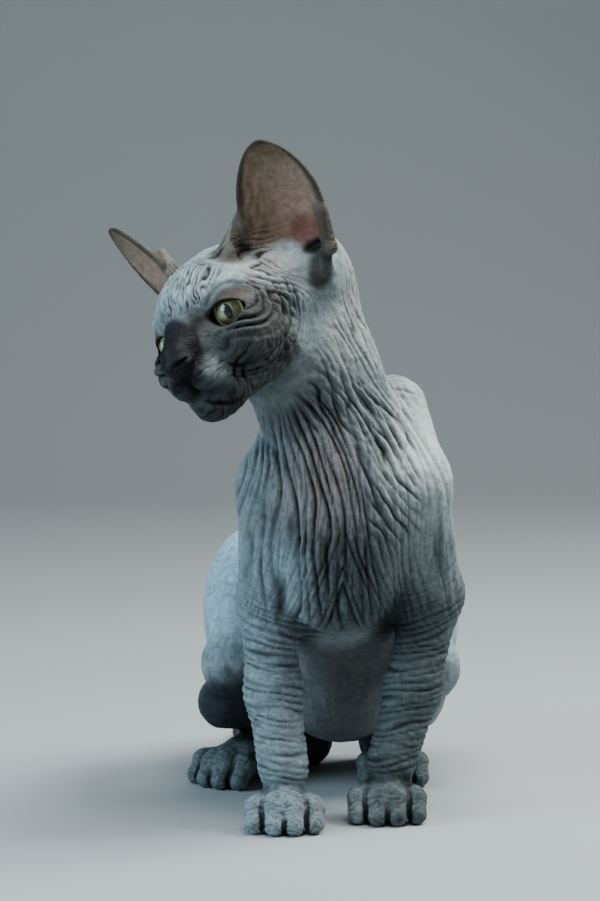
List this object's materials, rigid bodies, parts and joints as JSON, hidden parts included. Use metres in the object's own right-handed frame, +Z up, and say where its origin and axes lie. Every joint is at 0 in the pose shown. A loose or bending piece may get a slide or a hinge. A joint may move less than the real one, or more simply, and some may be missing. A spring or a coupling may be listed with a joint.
{
  "type": "sphynx cat figure",
  "caption": "Life-size still model of a young hairless sphynx cat, half risen on its haunches with its head turned to its right and its ears up.",
  "frame": {"origin": "middle of the bounding box at floor level, under the belly", "axes": "+Z up, the body faces -Y, +X is the cat's own left side"},
  "size_m": [0.1648, 0.2632, 0.3077],
  "materials": {
    "skin": "bare wrinkled blue-grey skin, matt with a faint sheen",
    "dark_skin": "bare dark grey skin",
    "ear_skin": "thin brown to pink skin",
    "nose_leather": "fine-grained, slightly moist",
    "eye": "wet, yellow-green iris with an upright dark pupil"
  },
  "bodies": {
    "root": {"torso": "skin", "neck": "skin", "head": "skin", "nose": "nose_leather", "ear_left": "ear_skin", "ear_right": "ear_skin", "eye_left": "eye", "eye_right": "eye", "front_leg_left": "skin", "front_leg_right": "skin", "front_paw_left": "skin", "front_paw_right": "skin", "hind_leg_left": "skin", "hind_leg_right": "skin", "hind_foot_left": "skin", "hind_foot_right": "skin", "tail_root": "dark_skin", "tail_end": "dark_skin"}
  },
  "joints": []
}
